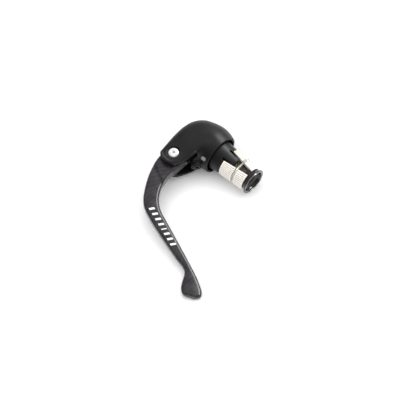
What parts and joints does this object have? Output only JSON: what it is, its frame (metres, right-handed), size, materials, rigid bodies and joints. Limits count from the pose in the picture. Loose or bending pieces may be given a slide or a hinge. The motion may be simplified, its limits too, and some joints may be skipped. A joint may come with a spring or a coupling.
{
  "type": "bar-end brake lever",
  "caption": "Cable brake lever that plugs into a handlebar's open end, with an expander for the bar, a pivoted curved blade and a hook for the cable.",
  "frame": {"origin": "middle of the underside of the bounding box, with the assembly lying on its side", "axes": "+X along the handlebar's axis and into the bar, +Y towards the top of the bar, away from the blade, +Z along the lever's pivot, upwards off the side the lever lies on"},
  "size_m": [0.0942, 0.1086, 0.0278],
  "materials": {
    "bracket_plastic": "moulded fibre-filled plastic, semi-matt black with a fine grain",
    "carbon": "clear-coated dark carbon laminate",
    "black_alloy": "black anodised forged alloy",
    "pale_alloy": "satin bare alloy, the segments with fine serrations along the bar",
    "dark_alloy": "glossy dark anodised alloy with a bright worn rim",
    "zinc_steel": "yellow-green zinc-passivated steel",
    "bronzed_steel": "brownish-grey treated steel",
    "steel": "bright drawn and machined steel",
    "black_steel": "black-oxide steel",
    "brass": "machined brass",
    "bush_plastic": "self-lubricating grey plastic"
  },
  "bodies": {
    "bracket": {"bracket_body": "bracket_plastic", "expander_washer": "steel", "pivot_axle": "pale_alloy", "pivot_screw": "pale_alloy", "reach_insert": "brass", "return_spring": "steel", "segment_spring_ring": "steel"},
    "bolt": {"expander_bolt": "zinc_steel"},
    "cone": {"expander_nut": "bronzed_steel", "expander_cone": "dark_alloy"},
    "segment_1": {"expander_segment_1": "pale_alloy"},
    "segment_2": {"expander_segment_2": "pale_alloy"},
    "segment_3": {"expander_segment_3": "pale_alloy"},
    "lever": {"lever_root": "black_alloy", "lever_blade": "carbon", "pivot_bush_near": "bush_plastic", "pivot_bush_far": "bush_plastic", "preload_screw": "steel"},
    "hook": {"cable_hook": "brass"},
    "reach_stop": {"reach_screw": "black_steel"}
  },
  "joints": [
    {"name": "lever_pull", "type": "hinge", "parent": "bracket", "child": "lever", "pos_m": [-0.036, 0.01514, 0.0139], "axis": [0, 0, 1], "range_deg": [0, 28], "stiffness_Nm_per_rad": 0.1, "springref_deg": -28.65, "deforming": ["return_spring"]},
    {"name": "hook_swivel", "type": "hinge", "parent": "lever", "child": "hook", "pos_m": [-0.0288, 0.03664, 0.0139], "axis": [0, 0, 1], "range_deg": [-30, 5]},
    {"name": "bolt_turn", "type": "hinge", "parent": "bracket", "child": "bolt", "pos_m": [-0.0188, 0.03814, 0.0139], "axis": [1, 0, 0], "range_deg": [0, 864.5]},
    {"name": "cone_draw", "type": "slide", "parent": "bracket", "child": "cone", "axis": [-1, 0, 0], "range_m": [0, 0.0024], "deforming": ["segment_spring_ring"]},
    {"name": "segment_1_spread", "type": "slide", "parent": "bracket", "child": "segment_1", "axis": [0, -0.891, 0.454], "range_m": [0, 0.0011], "stiffness_N_per_m": 500, "springref_m": -0.0005, "deforming": ["segment_spring_ring"]},
    {"name": "segment_2_spread", "type": "slide", "parent": "bracket", "child": "segment_2", "axis": [0, 0.0523, -0.9986], "range_m": [0, 0.0011], "stiffness_N_per_m": 500, "springref_m": -0.0005, "deforming": ["segment_spring_ring"]},
    {"name": "segment_3_spread", "type": "slide", "parent": "bracket", "child": "segment_3", "axis": [0, 0.8387, 0.5446], "range_m": [0, 0.0011], "stiffness_N_per_m": 500, "springref_m": -0.0005, "deforming": ["segment_spring_ring"]},
    {"name": "reach_adjust", "type": "slide", "parent": "bracket", "child": "reach_stop", "axis": [0.7857, -0.6186, 0], "range_m": [0, 0.0025]}
  ],
  "couplings": [
    {"joint": "bolt_turn", "follows": "cone_draw", "rad_per_m": 6283.2},
    {"joint": "segment_1_spread", "follows": "cone_draw", "ratio": 0.45},
    {"joint": "segment_2_spread", "follows": "cone_draw", "ratio": 0.45},
    {"joint": "segment_3_spread", "follows": "cone_draw", "ratio": 0.45}
  ]
}
